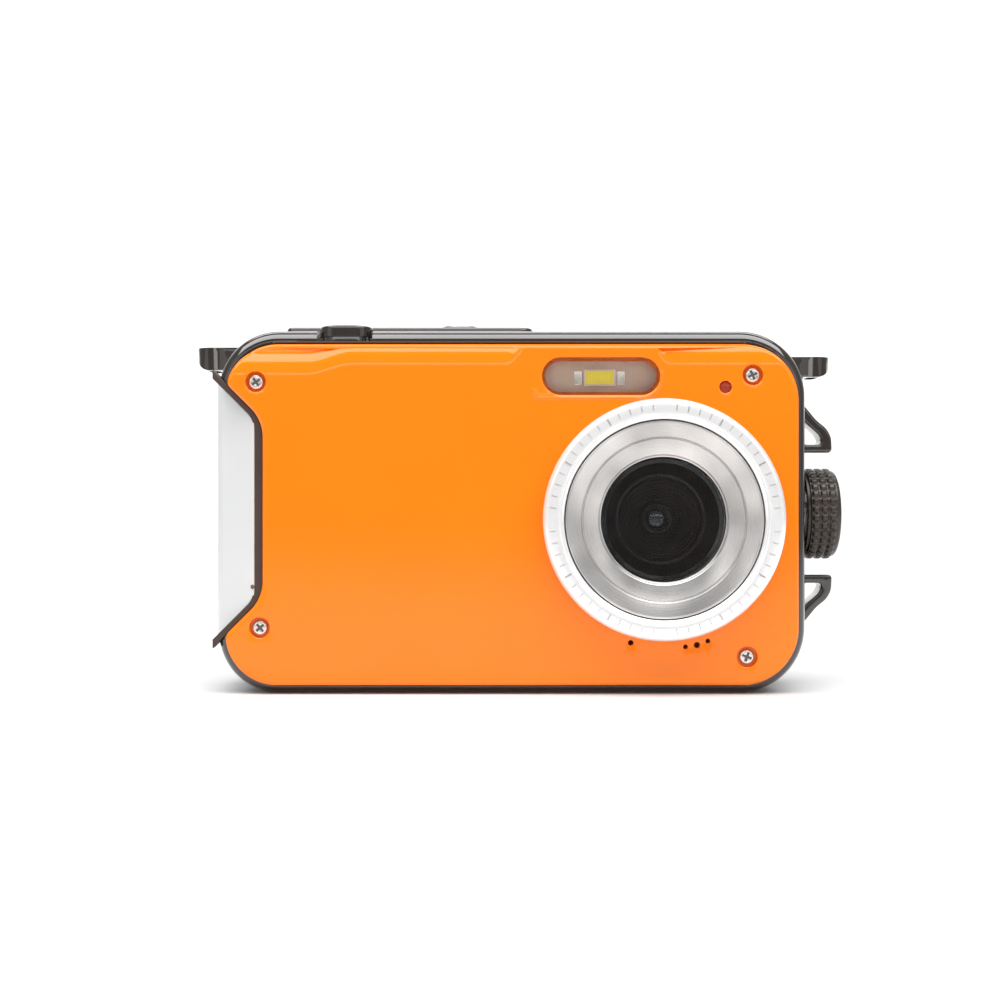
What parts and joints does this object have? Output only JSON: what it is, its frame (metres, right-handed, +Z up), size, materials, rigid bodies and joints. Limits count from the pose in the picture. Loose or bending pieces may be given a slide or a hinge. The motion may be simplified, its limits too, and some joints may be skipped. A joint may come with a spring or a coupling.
{
  "type": "compact waterproof camera",
  "caption": "Compact waterproof camera with front and rear covers, mid frame, lens group, lamp, side cover with lock knob, keys, boards and battery as separate pieces.",
  "frame": {"origin": "mouth of the tripod thread in the base", "axes": "+X to the right seen from the front, +Y to the rear (the lens looks along -Y), +Z up"},
  "size_m": [0.1174, 0.0333, 0.0661],
  "materials": {
    "orange_plastic": "gloss, moulded",
    "black_gloss": "gloss black",
    "black_matte": "fine matt grain",
    "trim_brown": "matt dark brown",
    "silver_plate": "gloss silver",
    "polished_metal": "polished, circular turned",
    "satin_metal": "satin, circular brushed",
    "button_metal": "satin",
    "clear_window": "clear",
    "lens_glass": "coated",
    "lamp_clear": "ribbed",
    "indicator_red": "translucent",
    "display_glass": "dark gloss",
    "display_panel": "dark",
    "rubber_seal": "soft",
    "board_green": "solder mask",
    "board_white": "white solder mask",
    "led_yellow": "phosphor",
    "sensor_dark": "sensor glass",
    "screw_steel": "machined",
    "sheet_steel": "stamped",
    "brass": "machined",
    "battery_wrap": "printed wrap",
    "card_plastic": "moulded"
  },
  "bodies": {
    "housing": {"front_cover": "orange_plastic", "mid_frame": "black_gloss", "rear_cover": "black_matte", "front_gasket": "rubber_seal", "rear_gasket": "rubber_seal", "grip_plate": "silver_plate", "grip_trim": "trim_brown", "lens_trim_ring": "polished_metal", "lens_inner_ring": "satin_metal", "port_window": "clear_window", "port_seal": "rubber_seal", "lens_well": "black_matte", "lens_cell": "black_matte", "front_lens": "lens_glass", "rear_lens": "lens_glass", "lens_holder": "black_matte", "image_sensor": "sensor_dark", "main_board": "board_green", "lamp_window": "lamp_clear", "lamp_led": "led_yellow", "lamp_board": "board_white", "indicator_lens": "indicator_red", "front_screws": "screw_steel", "rear_screws": "screw_steel", "board_screws": "screw_steel", "tripod_bush": "brass", "lcd_window": "display_glass", "lcd_panel": "display_panel", "lcd_frame": "sheet_steel", "key_board": "board_green", "key_switches": "sheet_steel", "key_seal": "rubber_seal", "top_plate": "black_matte", "top_board": "board_green", "top_switches": "sheet_steel", "battery_box": "black_matte", "battery": "battery_wrap", "battery_contacts": "brass", "card_socket": "sheet_steel", "memory_card": "card_plastic", "usb_socket": "sheet_steel", "speaker": "sheet_steel", "microphone": "sheet_steel", "screw_insert": "brass"},
    "side_cover": {"side_cover": "black_matte", "side_cover_seal": "rubber_seal"},
    "knob_carrier": {"knob_washer": "screw_steel"},
    "lock_knob": {"lock_knob": "black_matte", "knob_screw": "screw_steel"},
    "shutter_button": {"shutter_button": "black_matte"},
    "power_button": {"power_button": "button_metal"},
    "key_zoom_in": {"key_zoom_in": "black_matte"},
    "key_zoom_out": {"key_zoom_out": "black_matte"},
    "key_mode": {"key_mode": "black_matte"},
    "key_play": {"key_play": "black_matte"},
    "key_menu": {"key_menu": "black_matte"},
    "key_ok": {"key_ok": "black_matte"},
    "key_delete": {"key_delete": "black_matte"}
  },
  "joints": [
    {"name": "side_cover_slide", "type": "slide", "parent": "housing", "child": "side_cover", "axis": [1, 0, 0], "range_m": [0, 0.03]},
    {"name": "knob_travel", "type": "slide", "parent": "side_cover", "child": "knob_carrier", "axis": [1, 0, 0], "range_m": [0, 0.0014]},
    {"name": "knob_turn", "type": "hinge", "parent": "knob_carrier", "child": "lock_knob", "pos_m": [0.0537, 0, 0.0316], "axis": [1, 0, 0], "range_deg": [0, 630]},
    {"name": "shutter_press", "type": "slide", "parent": "housing", "child": "shutter_button", "axis": [0, 0, -1], "range_m": [0, 0.0008], "stiffness_N_per_m": 1500},
    {"name": "power_press", "type": "slide", "parent": "housing", "child": "power_button", "axis": [0, 0, -1], "range_m": [0, 0.0005], "stiffness_N_per_m": 2500},
    {"name": "zoom_in_press", "type": "slide", "parent": "housing", "child": "key_zoom_in", "axis": [0, -1, 0], "range_m": [0, 0.0005], "stiffness_N_per_m": 2500},
    {"name": "zoom_out_press", "type": "slide", "parent": "housing", "child": "key_zoom_out", "axis": [0, -1, 0], "range_m": [0, 0.0005], "stiffness_N_per_m": 2500},
    {"name": "mode_press", "type": "slide", "parent": "housing", "child": "key_mode", "axis": [0, -1, 0], "range_m": [0, 0.0005], "stiffness_N_per_m": 2500},
    {"name": "play_press", "type": "slide", "parent": "housing", "child": "key_play", "axis": [0, -1, 0], "range_m": [0, 0.0005], "stiffness_N_per_m": 2500},
    {"name": "menu_press", "type": "slide", "parent": "housing", "child": "key_menu", "axis": [0, -1, 0], "range_m": [0, 0.0005], "stiffness_N_per_m": 2500},
    {"name": "ok_press", "type": "slide", "parent": "housing", "child": "key_ok", "axis": [0, -1, 0], "range_m": [0, 0.0005], "stiffness_N_per_m": 2500},
    {"name": "delete_press", "type": "slide", "parent": "housing", "child": "key_delete", "axis": [0, -1, 0], "range_m": [0, 0.0005], "stiffness_N_per_m": 2500}
  ],
  "couplings": [
    {"joint": "knob_turn", "follows": "knob_travel", "rad_per_m": 7854}
  ]
}
